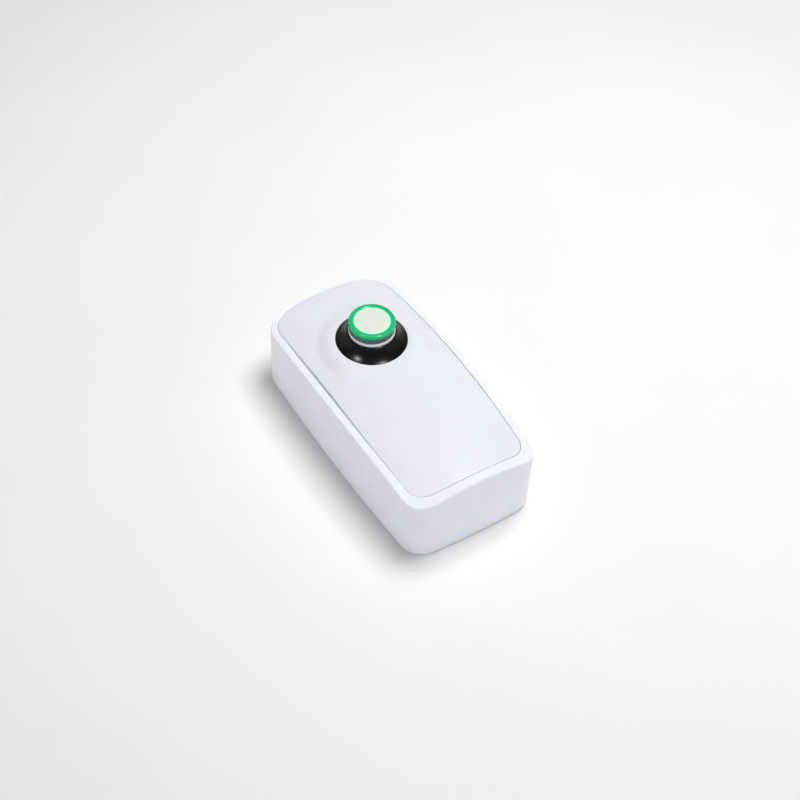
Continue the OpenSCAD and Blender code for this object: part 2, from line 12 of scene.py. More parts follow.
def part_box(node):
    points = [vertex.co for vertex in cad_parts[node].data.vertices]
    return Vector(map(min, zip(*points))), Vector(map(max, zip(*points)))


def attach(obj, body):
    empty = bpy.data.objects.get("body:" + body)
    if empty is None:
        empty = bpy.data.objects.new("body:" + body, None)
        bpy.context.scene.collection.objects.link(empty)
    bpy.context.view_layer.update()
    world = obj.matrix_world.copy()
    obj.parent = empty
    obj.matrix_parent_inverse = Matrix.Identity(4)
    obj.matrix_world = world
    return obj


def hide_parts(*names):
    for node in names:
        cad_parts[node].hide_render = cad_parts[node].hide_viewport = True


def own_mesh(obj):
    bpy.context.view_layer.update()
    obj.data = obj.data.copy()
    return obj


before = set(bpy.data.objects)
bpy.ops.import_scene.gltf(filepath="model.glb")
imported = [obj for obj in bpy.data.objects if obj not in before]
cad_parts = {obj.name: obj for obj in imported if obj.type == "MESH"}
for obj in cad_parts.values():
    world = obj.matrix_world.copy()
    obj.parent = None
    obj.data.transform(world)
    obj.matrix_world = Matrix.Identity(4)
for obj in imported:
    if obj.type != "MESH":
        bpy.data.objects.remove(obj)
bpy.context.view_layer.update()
MM = 0.001

# ---------------------------------------------------------------- sizes from the frame

housing_low, housing_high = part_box("housing")
panel_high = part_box("front_panel")[1]
collar_low, collar_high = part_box("guard_collar")
trim_low, trim_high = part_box("trim_barrel")
band_low, band_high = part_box("cap_body")
ring_low, ring_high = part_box("cap_ring")
lens_low, lens_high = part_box("lens")
gasket_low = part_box("collar_gasket")[0]
washer_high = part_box("barrel_washer")[1]
screws_low, screws_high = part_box("housing_screws")
seal_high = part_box("perimeter_seal")[1]
spring_low, spring_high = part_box("return_spring")
plunger_low, plunger_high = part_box("plunger")


def half_x(low, high):
    """Half of a box's width."""
    return (high.x - low.x) / 2


BUTTON = Vector((0, (collar_low.y + collar_high.y) / 2, 0))
LENGTH = housing_high.y - housing_low.y
FRONT = panel_high.z                   # crown's height in the middle
COLLAR_R = half_x(collar_low, collar_high)
TRIM_R = half_x(trim_low, trim_high)
BAND_R = half_x(band_low, band_high)
RING_R = half_x(ring_low, ring_high)
LENS_R = half_x(lens_low, lens_high)

# The outlines' own radii, as in the design
CROWN_X, CROWN_Y = 115 * MM, 645 * MM
RIM_SIDE, RIM_END = 5.9 * MM, 5 * MM
GROOVE = 0.6 * MM                      # width of the groove round the panel
RIM_LIFT = 1.3 * MM
RIM_ROUND, BACK_ROUND = 1.6 * MM, 1.8 * MM
PANEL_T, PANEL_GAP, FRONT_T = 2.2 * MM, 0.3 * MM, 3.2 * MM
WALL_T, REBATE_IN = 5 * MM, 3.2 * MM
WIDTH = 109.2 * MM
HOUSING_LINE = dict(length=LENGTH, width=WIDTH, widest=16.2 * MM, side=1.782, near=0.595,
                    far=0.9, near_corner=17.4 * MM, far_corner=18 * MM, shift=0)
GROOVE_LINE = dict(length=LENGTH - 2 * RIM_END, width=WIDTH - 2 * RIM_SIDE, widest=14.5 * MM,
                   side=1.336, near=0.266, far=0.887, near_corner=14.9 * MM,
                   far_corner=15.4 * MM, shift=2.6 * MM)
ARC_STEPS = (10, 22, 34, 22, 24)       # near end, near corner, side, far corner, far end
SHARP = math.radians(32)               # edges that bend more than this stay creased
LATHE_SIDES, ROD_SIDES = 192, 48


# ---------------------------------------------------------------- outlines and rings

def arc(centre, radius, start, stop, steps):
    """Points of an arc, without its last one; angles in radians."""
    return [centre + radius * Vector((math.cos(a), math.sin(a)))
            for a in (start + (stop - start) * i / steps for i in range(steps))]


def corner_centre(side_c, side_r, end_c, end_r, r):
    """Centre of the corner circle that touches a side circle and an end circle from inside."""
    a, b = side_r - r, end_r - r
    v = end_c - side_c
    u = v.normalized()
    t = (a * a - b * b + v.length_squared) / (2 * v.length)
    h = math.sqrt(a * a - t * t)
    across = Vector((-u.y, u.x)) * h
    return max((side_c + u * t + across, side_c + u * t - across), key=lambda p: p.x)


def heading(v):
    return math.atan2(v.y, v.x)


def outline(line, inset):
    """Counter-clockwise outline of the housing or the groove, moved in by inset."""
    side_c = Vector((line["width"] / 2 - line["side"], line["widest"]))
    near_c = Vector((0, line["near"] - line["length"] / 2))
    far_c = Vector((0, line["length"] / 2 - line["far"]))
    near_k = corner_centre(side_c, line["side"], near_c, line["near"], line["near_corner"])
    far_k = corner_centre(side_c, line["side"], far_c, line["far"], line["far_corner"])
    turns = [-math.pi / 2, heading(near_k - near_c), heading(near_k - side_c),
             heading(far_k - side_c), heading(far_k - far_c), math.pi / 2]
    arcs = [(near_c, line["near"]), (near_k, line["near_corner"]), (side_c, line["side"]),
            (far_k, line["far_corner"]), (far_c, line["far"])]
    half = []
    for (centre, radius), start, stop, steps in zip(arcs, turns, turns[1:], ARC_STEPS):
        half += arc(centre, radius - inset, start, stop, steps)
    top = [Vector((0, line["length"] / 2 - inset))]
    mirrored = [Vector((-p.x, p.y)) for p in reversed(half[1:])]
    return [p + Vector((0, line["shift"])) for p in half + top + mirrored]


def crown(p):
    """Fall of the crowned front at a place."""
    return p.x * p.x / (2 * CROWN_X) + p.y * p.y / (2 * CROWN_Y)


def level(points, z):
    return [Vector((p.x, p.y, z)) for p in points]


def crowned(points, h):
    return [Vector((p.x, p.y, h - crown(p))) for p in points]


def round_button(points, radius):
    """A circle round the button's axis, with a point facing each point of an outline."""
    centre = BUTTON.xy
    return [centre + (p - centre).normalized() * radius for p in points]


def between(a, b, t):
    return [p.lerp(q, t) for p, q in zip(a, b)]


def spread(outer, inner, h, steps, skip_first=True):
    """Crowned rings from an outer outline to an inner one."""
    first = 1 if skip_first else 0
    return [crowned(between(outer, inner, i / steps), h) for i in range(first, steps + 1)]


def quarter(radius, turn, steps):
    """(inset, height) steps up a round that starts at a wall and turns through an angle."""
    return [(radius * (1 - math.cos(turn * i / steps)), radius * math.sin(turn * i / steps))
            for i in range(steps + 1)]


# ---------------------------------------------------------------- mesh helpers

def smooth(bm):
    """Makes every face smooth and creases the sharp edges."""
    for face in bm.faces:
        face.smooth = True
    for edge in bm.edges:
        edge.smooth = not (len(edge.link_faces) == 2 and edge.calc_face_angle(0) > SHARP)


def add_object(bm, name):
    """Puts a bmesh into the scene as an object, and frees it."""
    mesh = bpy.data.meshes.new(name)
    bm.to_mesh(mesh)
    bm.free()
    piece = bpy.data.objects.new(name, mesh)
    bpy.context.scene.collection.objects.link(piece)
    return piece


def finish_mesh(bm, name, material):
    """Turns a bmesh into an object with smooth faces and sharp creases."""
    bmesh.ops.recalc_face_normals(bm, faces=bm.faces)
    smooth(bm)
    piece = add_object(bm, name)
    piece.data.materials.append(material)
    return piece


def add_rings(bm, rings, closed):
    """Joins rings of points with quads; closed joins the last ring to the first."""
    rows = [[bm.verts.new(p) for p in ring] for ring in rings]
    count = len(rows[0])
    pairs = list(zip(rows, rows[1:])) + ([(rows[-1], rows[0])] if closed else [])
    for low, high in pairs:
        for i in range(count):
            j = (i + 1) % count
            bm.faces.new((low[i], low[j], high[j], high[i]))
    return rows


def swept(name, rings, material):
    """A closed skin through rings, the last of which meets the first."""
    bm = bmesh.new()
    add_rings(bm, rings, closed=True)
    return finish_mesh(bm, name, material)


def rounded(corners, steps=6):
    """A closed profile from (r, z, round) corners, each rounded by its radius."""
    points = []
    count = len(corners)
    for i, (r, z, radius) in enumerate(corners):
        here = Vector((r, z))
        if radius <= 0:
            points.append(here)
            continue
        before = (Vector(corners[i - 1][:2]) - here).normalized()
        after = (Vector(corners[(i + 1) % count][:2]) - here).normalized()
        half = before.angle(after) / 2
        centre = here + (before + after).normalized() * radius / math.sin(half)
        start = here + before * radius / math.tan(half)
        stop = here + after * radius / math.tan(half)
        a, b = heading(start - centre), heading(stop - centre)
        turn = (b - a + math.pi) % (2 * math.pi) - math.pi
        points += [centre + radius * Vector((math.cos(a + turn * k / steps),
                                             math.sin(a + turn * k / steps)))
                   for k in range(steps + 1)]
    return points


def around(count):
    """Angles of evenly spaced places round a circle."""
    return [2 * math.pi * k / count for k in range(count)]


def lathe(name, profile, material):
    """Turns a closed (r, z) profile round the button's axis; points on the axis are poles."""
    bm = bmesh.new()
    rows = []
    for p in profile:
        if p.x < 1e-7:
            rows.append([bm.verts.new((BUTTON.x, BUTTON.y, p.y))])
        else:
            rows.append([bm.verts.new((BUTTON.x + p.x * math.cos(a),
                                       BUTTON.y + p.x * math.sin(a), p.y))
                         for a in around(LATHE_SIDES)])
    for low, high in zip(rows, rows[1:] + rows[:1]):
        if len(low) == 1 and len(high) == 1:
            continue
        for i in range(LATHE_SIDES):
            j = (i + 1) % LATHE_SIDES
            if len(low) == 1:
                bm.faces.new((low[0], high[j], high[i]))
            elif len(high) == 1:
                bm.faces.new((low[i], low[j], high[0]))
            else:
                bm.faces.new((low[i], low[j], high[j], high[i]))
    return finish_mesh(bm, name, material)


def rod(place, radius, low, high):
    """A plain closed cylinder, used only as a tool for joining or cutting."""
    bm = bmesh.new()
    ring = [Vector((place.x + radius * math.cos(a), place.y + radius * math.sin(a)))
            for a in around(ROD_SIDES)]
    rows = add_rings(bm, [level(ring, low), level(ring, high)], closed=False)
    bm.faces.new(rows[0])
    bm.faces.new(rows[1])
    bmesh.ops.recalc_face_normals(bm, faces=bm.faces)
    return add_object(bm, "tool")


def combine(piece, tools, operation):
    """Joins tools to a piece, or cuts them from it, and applies the result."""
    for tool in tools:
        modifier = piece.modifiers.new("combine", "BOOLEAN")
        modifier.operation = operation
        modifier.solver = "EXACT"
        modifier.object = tool
    graph = bpy.context.evaluated_depsgraph_get()
    result = bpy.data.meshes.new_from_object(piece.evaluated_get(graph))
    piece.modifiers.clear()
    piece.data = result
    for tool in tools:
        bpy.data.objects.remove(tool)


def resharpen(piece, material):
    """Marks smooth faces and sharp creases again after a join or cut."""
    bm = bmesh.new()
    bm.from_mesh(piece.data)
    smooth(bm)
    for face in bm.faces:
        face.material_index = 0
    bm.to_mesh(piece.data)
    bm.free()
    piece.data.materials.clear()
    piece.data.materials.append(material)


# ---------------------------------------------------------------- materials

class Nodes:
    """Short calls for building a material's node tree."""

    def __init__(self, name):
        self.material = bpy.data.materials.new(name)
        self.material.use_nodes = True
        self.tree = self.material.node_tree
        self.shader = self.tree.nodes["Principled BSDF"]
        self.coords = self.add("ShaderNodeTexCoord").outputs["Object"]

    def add(self, kind, **values):
        node = self.tree.nodes.new(kind)
        for key, value in values.items():
            setattr(node, key, value)
        return node

    def link(self, output, socket):
        self.tree.links.new(output, socket)

    def noise(self, size, detail=3.0):
        """Noise whose lumps are about size metres across."""
        node = self.add("ShaderNodeTexNoise")
        self.link(self.coords, node.inputs["Vector"])
        node.inputs["Scale"].default_value = 1 / size
        node.inputs["Detail"].default_value = detail
        return node.outputs["Fac"]

    def between(self, value, low, high):
        """Maps a 0.3 to 0.7 value to low..high."""
        node = self.add("ShaderNodeMapRange")
        node.inputs["From Min"].default_value = 0.3
        node.inputs["From Max"].default_value = 0.7
        node.inputs["To Min"].default_value = low
        node.inputs["To Max"].default_value = high
        self.link(value, node.inputs["Value"])
        return node.outputs["Result"]

    def mixed(self, value, first, second):
        """Blends two colours by a 0.3 to 0.7 value."""
        node = self.add("ShaderNodeMix", data_type="RGBA")
        self.link(self.between(value, 0, 1), node.inputs["Factor"])
        node.inputs["A"].default_value = (*first, 1)
        node.inputs["B"].default_value = (*second, 1)
        return node.outputs["Result"]

    def bump(self, value, depth, strength=1.0):
        node = self.add("ShaderNodeBump")
        node.inputs["Distance"].default_value = depth
        node.inputs["Strength"].default_value = strength
        self.link(value, node.inputs["Height"])
        return node.outputs["Normal"]

    def set(self, **values):
        for key, value in values.items():
            self.shader.inputs[key.replace("_", " ")].default_value = value


TOOL_MARK = 0.25 * MM                  # spacing of the rings on turned metal


def shade(colour, factor):
    return tuple(min(1, c * factor) for c in colour)


def plastic(name, colour, roughness, grain=0.35 * MM, depth=0.004 * MM, vary=0.02, **extra):
    """Moulded plastic: fine grain, faint flow marks in the colour, uneven gloss."""
    n = Nodes(name)
    flow = n.noise(26 * MM, 2.0)
    n.link(n.mixed(flow, shade(colour, 1 - vary), shade(colour, 1 + vary)),
           n.shader.inputs["Base Color"])
    gloss = n.noise(3 * MM, 4.0)
    n.link(n.between(gloss, roughness - 0.03, roughness + 0.03), n.shader.inputs["Roughness"])
    n.link(n.bump(n.noise(grain, 2.0), depth), n.shader.inputs["Normal"])
    n.set(**extra)
    return n.material


def metal(name, colour, roughness):
    """Turned or drawn metal: fine rings of tool marks and a little tarnish."""
    n = Nodes(name)
    tarnish = n.noise(4 * MM, 4.0)
    n.link(n.mixed(tarnish, shade(colour, 0.86), shade(colour, 1.04)),
           n.shader.inputs["Base Color"])
    n.link(n.between(n.noise(0.8 * MM, 3.0), roughness - 0.06, roughness + 0.08),
           n.shader.inputs["Roughness"])
    wave = n.add("ShaderNodeTexWave", wave_type="BANDS", bands_direction="Z")
    n.link(n.coords, wave.inputs["Vector"])
    wave.inputs["Scale"].default_value = 0.3 / TOOL_MARK
    wave.inputs["Distortion"].default_value = 0.6
    n.link(n.bump(wave.outputs["Fac"], 0.01 * MM, 0.5), n.shader.inputs["Normal"])
    n.set(Metallic=1.0)
    return n.material


def rubber(name, colour=(0.02, 0.02, 0.021)):
    """Matt rubber: a bloom of lighter patches and a soft pitted face."""
    n = Nodes(name)
    n.link(n.mixed(n.noise(5 * MM, 5.0), shade(colour, 0.75), shade(colour, 1.5)),
           n.shader.inputs["Base Color"])
    n.link(n.between(n.noise(1.5 * MM), 0.62, 0.8), n.shader.inputs["Roughness"])
    n.link(n.bump(n.noise(0.25 * MM, 4.0), 0.02 * MM), n.shader.inputs["Normal"])
    return n.material


def board_green(name):
    """Solder mask over tracks: raised lines under a green gloss."""
    n = Nodes(name)
    tracks = n.add("ShaderNodeTexBrick")
    n.link(n.coords, tracks.inputs["Vector"])
    tracks.inputs["Scale"].default_value = 190
    tracks.inputs["Mortar Size"].default_value = 0.03
    tracks.inputs["Color1"].default_value = (0.008, 0.1, 0.035, 1)
    tracks.inputs["Color2"].default_value = (0.008, 0.12, 0.04, 1)
    tracks.inputs["Mortar"].default_value = (0.03, 0.22, 0.07, 1)
    n.link(tracks.outputs["Color"], n.shader.inputs["Base Color"])
    n.link(n.bump(tracks.outputs["Fac"], 0.03 * MM), n.shader.inputs["Normal"])
    n.link(n.between(n.noise(2 * MM), 0.28, 0.4), n.shader.inputs["Roughness"])
    return n.material


white = plastic("housing_plastic", (0.855, 0.862, 0.935), 0.42)
panel_white = plastic("panel_plastic", (0.785, 0.793, 0.848), 0.40)
plate_grey = plastic("plate_plastic", (0.66, 0.67, 0.70), 0.55, depth=0.008 * MM)
black_gloss = plastic("collar_plastic", (0.005, 0.0048, 0.0046), 0.24, grain=0.8 * MM,
                      depth=0.0015 * MM, vary=0.1, Specular_IOR_Level=0.12)
trim_white = plastic("trim_plastic", (0.84, 0.85, 0.90), 0.3, grain=0.6 * MM, depth=0.002 * MM)
# The skirt's dark slate teal is painted shade: it stands for the shadowed gap under the green
# ring.
skirt_painted_shade = plastic("band_plastic", (0.045, 0.115, 0.135), 0.28, grain=0.6 * MM,
                     depth=0.002 * MM, vary=0.06)
ring_green = plastic("ring_plastic", (0.008, 0.50, 0.17), 0.24, grain=0.7 * MM,
                     depth=0.0015 * MM, vary=0.04, Specular_IOR_Level=0.25)
natural = plastic("natural_plastic", (0.78, 0.76, 0.70), 0.45)
rubber_black = rubber("seal_rubber")
grommet_black = rubber("grommet_rubber", (0.014, 0.014, 0.014))
steel = metal("screw_steel", (0.60, 0.60, 0.61), 0.3)
brass = metal("brass", (0.76, 0.55, 0.22), 0.28)
board = board_green("board_laminate")


def lens_with_painted_rim():
    """Milky lens over a lamp: pale in the middle, with a painted mint highlight towards the edge.
    """
    n = Nodes("lens_plastic")
    place = n.add("ShaderNodeSeparateXYZ")
    shifted = n.add("ShaderNodeVectorMath", operation="SUBTRACT")
    n.link(n.coords, shifted.inputs[0])
    shifted.inputs[1].default_value = (BUTTON.x, BUTTON.y, 0)
    n.link(shifted.outputs["Vector"], place.inputs["Vector"])
    flat = n.add("ShaderNodeCombineXYZ")
    n.link(place.outputs["X"], flat.inputs["X"])
    n.link(place.outputs["Y"], flat.inputs["Y"])
    far = n.add("ShaderNodeVectorMath", operation="LENGTH")
    n.link(flat.outputs["Vector"], far.inputs[0])
    edge = n.add("ShaderNodeMapRange", interpolation_type="SMOOTHSTEP")
    edge.inputs["From Min"].default_value = LENS_R * 0.66
    edge.inputs["From Max"].default_value = LENS_R * 1.0
    n.link(far.outputs["Value"], edge.inputs["Value"])
    painted_rim_mix = n.add("ShaderNodeMix", data_type="RGBA")
    n.link(edge.outputs["Result"], painted_rim_mix.inputs["Factor"])
    n.link(n.mixed(n.noise(5 * MM), (0.705, 0.745, 0.675), (0.75, 0.785, 0.72)), painted_rim_mix.inputs["A"])
    # painted highlight: the mint towards the edge stands in for the green ring's reflection on the
    # lens's rim
    painted_rim_mix.inputs["B"].default_value = (0.58, 0.93, 0.69, 1)
    n.link(painted_rim_mix.outputs["Result"], n.shader.inputs["Base Color"])
    n.link(n.between(n.noise(2 * MM), 0.2, 0.26), n.shader.inputs["Roughness"])
    n.link(n.bump(n.noise(0.6 * MM), 0.001 * MM), n.shader.inputs["Normal"])
    return n.material


lens_milk_painted_rim = lens_with_painted_rim()

# ---------------------------------------------------------------- housing and front panel

SCREW_HEAD_R = 3.8 * MM
SCREW = Vector((half_x(screws_low, screws_high) - SCREW_HEAD_R,
                (screws_high.y - screws_low.y) / 2 - SCREW_HEAD_R))
PEG = Vector((WIDTH / 2 - 14 * MM, LENGTH / 2 - 45 * MM))
PEG_R, PEG_DEPTH = 2.95 * MM, 4.4 * MM
TOWER_TOP = 14 * MM
FLOOR = FRONT - PANEL_T - PANEL_GAP
CEILING = FLOOR - FRONT_T
RIM_EDGE_H = FRONT + RIM_LIFT
RIM_TURN = math.radians(62)
LEDGE = seal_high.z
SEAT, PAD_UNDER = gasket_low.z, washer_high.z
PAD_R = COLLAR_R + 1.9 * MM
BORE_R = 13.2 * MM
OPENING_R = COLLAR_R + 0.15 * MM
COLLAR_EDGE = FRONT - crown(Vector((0, BUTTON.y - COLLAR_R))) + 0.1 * MM
SWELL_R = COLLAR_R + 14.5 * MM         # where the panel begins to swell towards the collar
SEAT_R = COLLAR_R + 1.7 * MM           # where the swelling has become a flat seat


def four(place):
    """A place and its three mirror images."""
    return [Vector((sx * place.x, sy * place.y)) for sx in (-1, 1) for sy in (-1, 1)]


def make_housing():
    """The deep moulding: walls, rim, recessed front wall, button seat and screw bosses."""
    wall = outline(HOUSING_LINE, 0)
    inner = outline(HOUSING_LINE, WALL_T)
    rebate = outline(HOUSING_LINE, REBATE_IN)
    recess = outline(GROOVE_LINE, -GROOVE / 2)
    lip = outline(GROOVE_LINE, -GROOVE / 2 - 0.3 * MM)
    turned = quarter(RIM_ROUND, RIM_TURN, 10)
    turn_h = RIM_EDGE_H - turned[-1][1]
    rim_out = outline(HOUSING_LINE, turned[-1][0])
    rim = []
    for i in range(1, 8):
        t = i / 8
        bulge = 0.15 * MM * 4 * t * (1 - t)
        rim.append(crowned(between(rim_out, lip, t), RIM_EDGE_H - RIM_LIFT * t + bulge))
    back = [(BACK_ROUND - BACK_ROUND * math.sin(a), BACK_ROUND - BACK_ROUND * math.cos(a))
            for a in (math.pi / 2 * i / 6 for i in range(7))]
    wall_top = turn_h - 1 * MM
    rings = [level(rebate, LEDGE), level(rebate, 0)]
    rings += [level(outline(HOUSING_LINE, inset), z) for inset, z in back]
    rings += [[Vector((p.x, p.y, BACK_ROUND + (wall_top - crown(p) - BACK_ROUND) * i / 6))
               for p in wall] for i in range(1, 7)]
    rings += [crowned(outline(HOUSING_LINE, inset), turn_h + h) for inset, h in turned]
    rings += rim
    rings += [crowned(lip, FRONT), crowned(between(lip, recess, 0.7), FRONT - 0.09 * MM),
              crowned(recess, FRONT - 0.3 * MM), crowned(recess, FLOOR)]
    opening = round_button(recess, OPENING_R)
    rings += spread(recess, opening, FLOOR, 10)
    rings += [level(opening, SEAT), level(round_button(recess, BORE_R), SEAT),
              level(round_button(recess, BORE_R), PAD_UNDER),
              level(round_button(recess, PAD_R), PAD_UNDER)]
    pad = round_button(inner, PAD_R)
    rings += list(reversed(spread(inner, pad, CEILING, 8, skip_first=False)))
    rings += [level(inner, LEDGE)]
    piece = swept("housing_shell", rings, white)
    bosses = [rod(p, 6.5 * MM, TOWER_TOP + 0.3 * MM, FLOOR - crown(p) - 2.6 * MM)
              for p in four(SCREW)]
    bosses += [rod(p, 4.95 * MM, FLOOR - crown(p) - 6.9 * MM, FLOOR - crown(p) - 2.2 * MM)
               for p in four(PEG)]
    combine(piece, bosses, "UNION")
    seat = FLOOR - crown(SCREW) - 9 * MM
    holes = [rod(p, 2.3 * MM, 5 * MM, FRONT) for p in four(SCREW)]
    holes += [rod(p, 4.6 * MM, seat, FRONT) for p in four(SCREW)]
    holes += [rod(p, PEG_R + 0.05 * MM, FLOOR - crown(p) - PEG_DEPTH, FRONT) for p in four(PEG)]
    combine(piece, holes, "DIFFERENCE")
    resharpen(piece, white)
    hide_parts("housing")
    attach(piece, "enclosure")


def seam(p):
    """How much further in the panel's edge lies than it should: widest along the left side."""
    left = min(1, max(0, (-p.x / MM - 25) / 20))
    right = min(1, max(0, (p.x / MM - 25) / 20))
    y = p.y / MM
    wide_left = -0.5 + 1.45 * math.exp(-((y - 20) / 50) ** 2)
    wide_right = -0.3 + 0.4 * math.exp(-((y + 5) / 75) ** 2)
    return (left * wide_left + right * wide_right - 0.3 * (1 - left - right)) * MM


def panel_line(inset):
    """The panel's outline, moved in by inset and by the seam's unevenness."""
    here, further = outline(GROOVE_LINE, inset), outline(GROOVE_LINE, inset + 1 * MM)
    return [p + (q - p).normalized() * seam(p) for p, q in zip(here, further)]


def swelled(points):
    """Points of the panel's front where it swells to a flat seat round the collar."""
    lifted = []
    for p in points:
        r = (p - BUTTON.xy).length
        surface = FRONT - crown(p)
        seat = COLLAR_EDGE - 0.3 * MM
        rise = min(1, max(0, (SWELL_R - r) / (SWELL_R - SEAT_R)))
        top = max(surface, seat)
        lifted.append(Vector((p.x, p.y, surface + (top - surface) * rise * rise * (3 - 2 * rise))))
    return lifted


def make_panel():
    """The inset panel: crowned, with a softened edge and an opening for the collar."""
    edge = panel_line(GROOVE / 2)
    soft = [(inset, h) for inset, h in quarter(0.4 * MM, math.pi / 2, 5)]
    hole = round_button(edge, OPENING_R)
    top_line = panel_line(GROOVE / 2 + soft[-1][0])
    rings = [crowned(edge, FRONT - PANEL_T)]
    rings += [crowned(panel_line(GROOVE / 2 + inset), FRONT - 0.4 * MM + h)
              for inset, h in soft]
    swell = round_button(edge, SWELL_R)
    rings += spread(top_line, swell, FRONT, 12)
    rings += [swelled(round_button(edge, SWELL_R - (SWELL_R - OPENING_R) * i / 20))
              for i in range(1, 21)]
    rings += list(reversed(spread(edge, hole, FRONT - PANEL_T, 16)))
    piece = swept("front_panel_shell", rings, panel_white)
    combine(piece, [rod(p, PEG_R, FLOOR - crown(p) - PEG_DEPTH, FRONT - crown(p) - PANEL_T / 2)
                    for p in four(PEG)], "UNION")
    resharpen(piece, panel_white)
    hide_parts("front_panel")
    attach(piece, "enclosure")


# ---------------------------------------------------------------- button

SHOULDER = collar_high.z - 4.2 * MM    # where the trim ring rests in the collar


def flare(start, stop, bow, steps):
    """Points of the collar's concave flare, from its foot to its mouth."""
    middle = (start + stop) / 2 - Vector(bow)
    return [(1 - t) ** 2 * start + 2 * t * (1 - t) * middle + t * t * stop
            for t in (i / steps for i in range(steps + 1))]


def make_collar():
    """The black collar: a rounded foot, a concave flare and a stepped bore."""
    edge = 0.6 * MM
    mouth_r = 17.6 * MM
    seat_r = TRIM_R + 0.1 * MM
    round_foot = [Vector((COLLAR_R - edge + edge * math.cos(a),
                          COLLAR_EDGE - edge + edge * math.sin(a)))
                  for a in (math.radians(60) * i / 6 for i in range(7))]
    line = flare(round_foot[-1], Vector((mouth_r, collar_high.z)), (1 * MM, 1 * MM), 24)
    profile = [Vector((BORE_R, collar_low.z)), Vector((COLLAR_R, collar_low.z))]
    profile += round_foot + line[1:-1]
    profile += [Vector((mouth_r + 0.12 * MM, collar_high.z - 0.14 * MM)),
                Vector((mouth_r - 0.1 * MM, collar_high.z)),
                Vector((seat_r, collar_high.z)), Vector((seat_r, SHOULDER)),
                Vector((BORE_R, SHOULDER))]
    piece = lathe("guard_collar_flare", profile, black_gloss)
    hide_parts("guard_collar")
    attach(piece, "enclosure")


def make_trim():
    """White trim ring with its threaded barrel."""
    bore = half_x(plunger_low, plunger_high) + 0.1 * MM
    skirt = BAND_R + 0.1 * MM
    floor = spring_low.z
    barrel_r = 13 * MM
    root_r = barrel_r - 0.6 * MM
    pitch = 1.5 * MM
    thread = [Vector((root_r, trim_low.z))]
    z = trim_low.z + 0.8 * MM
    while z + pitch < PAD_UNDER + 2 * MM:
        thread += [Vector((barrel_r, z)), Vector((root_r, z + pitch / 2))]
        z += pitch
    thread.append(Vector((barrel_r, z)))
    top = rounded([(barrel_r, SHOULDER, 0), (TRIM_R, SHOULDER, 0.2 * MM),
                   (TRIM_R, trim_high.z, 0.35 * MM), (skirt, trim_high.z, 0.2 * MM),
                   (skirt, floor, 0), (bore, floor, 0), (bore, trim_low.z, 0)])
    piece = lathe("trim_ring_barrel", thread + top, trim_white)
    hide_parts("trim_barrel")
    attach(piece, "enclosure")


def make_cap():
    """Skirt in a dark slate teal that is painted shade, green ring, and milky lens with a painted
    mint highlight towards its edge.
    """
    skirt_in = BAND_R - 1.3 * MM
    spigot = half_x(plunger_low, plunger_high) - 0.8 * MM
    under = band_high.z - 2 * MM
    skirt = lathe("cap_skirt", rounded([
        (skirt_in, band_low.z, 0.1 * MM), (BAND_R, band_low.z, 0.3 * MM),
        (BAND_R, band_high.z, 0), (spigot, band_high.z, 0), (spigot, under, 0),
        (skirt_in, under, 0.3 * MM)]), skirt_painted_shade)
    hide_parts("cap_body")
    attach(skirt, "button")
    ledge_r = LENS_R - 1.4 * MM
    ring = lathe("cap_green_ring", rounded([
        (ledge_r, ring_low.z, 0), (RING_R, ring_low.z, 0.6 * MM),
        (RING_R, ring_high.z, 1.35 * MM), (LENS_R + 0.75 * MM, ring_high.z, 0.3 * MM),
        (LENS_R, ring_high.z - 0.45 * MM, 0.05 * MM), (LENS_R, lens_low.z, 0),
        (ledge_r, lens_low.z, 0)], steps=12), ring_green)
    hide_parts("cap_ring")
    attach(ring, "button")
    rise = 0.6 * MM
    top = [Vector((LENS_R * (1 - t), lens_high.z - rise * (1 - t) ** 2))
           for t in (i / 20 for i in range(1, 21))]
    edge = lens_high.z - rise
    lens = lathe("cap_lens", [Vector((0, lens_low.z)), Vector((LENS_R, lens_low.z)),
                              Vector((LENS_R, edge - 0.1 * MM)),
                              Vector((LENS_R - 0.1 * MM, edge))] + top, lens_milk_painted_rim)
    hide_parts("lens")
    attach(lens, "button")


def make_spring():
    """Round-wire return spring with closed ends."""
    wire = 0.5 * MM
    radius = half_x(spring_low, spring_high) - wire
    turns, steps, sides = 3.5, 260, 14
    low, high = spring_low.z + wire, spring_high.z - wire
    rings = []
    for i in range(steps + 1):
        t = i / steps
        a = 2 * math.pi * turns * t
        out = Vector((math.cos(a), math.sin(a), 0))
        middle = BUTTON + out * radius + Vector((0, 0, low + (high - low) * t))
        rings.append([middle + wire * (out * math.cos(b) + Vector((0, 0, math.sin(b))))
                      for b in around(sides)])
    bm = bmesh.new()
    rows = add_rings(bm, rings, closed=False)
    bm.faces.new(rows[0])
    bm.faces.new(rows[-1])
    piece = finish_mesh(bm, "return_spring_wire", steel)
    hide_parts("return_spring")
    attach(piece, "enclosure")
    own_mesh(piece)


# ---------------------------------------------------------------- CAD nodes that stay

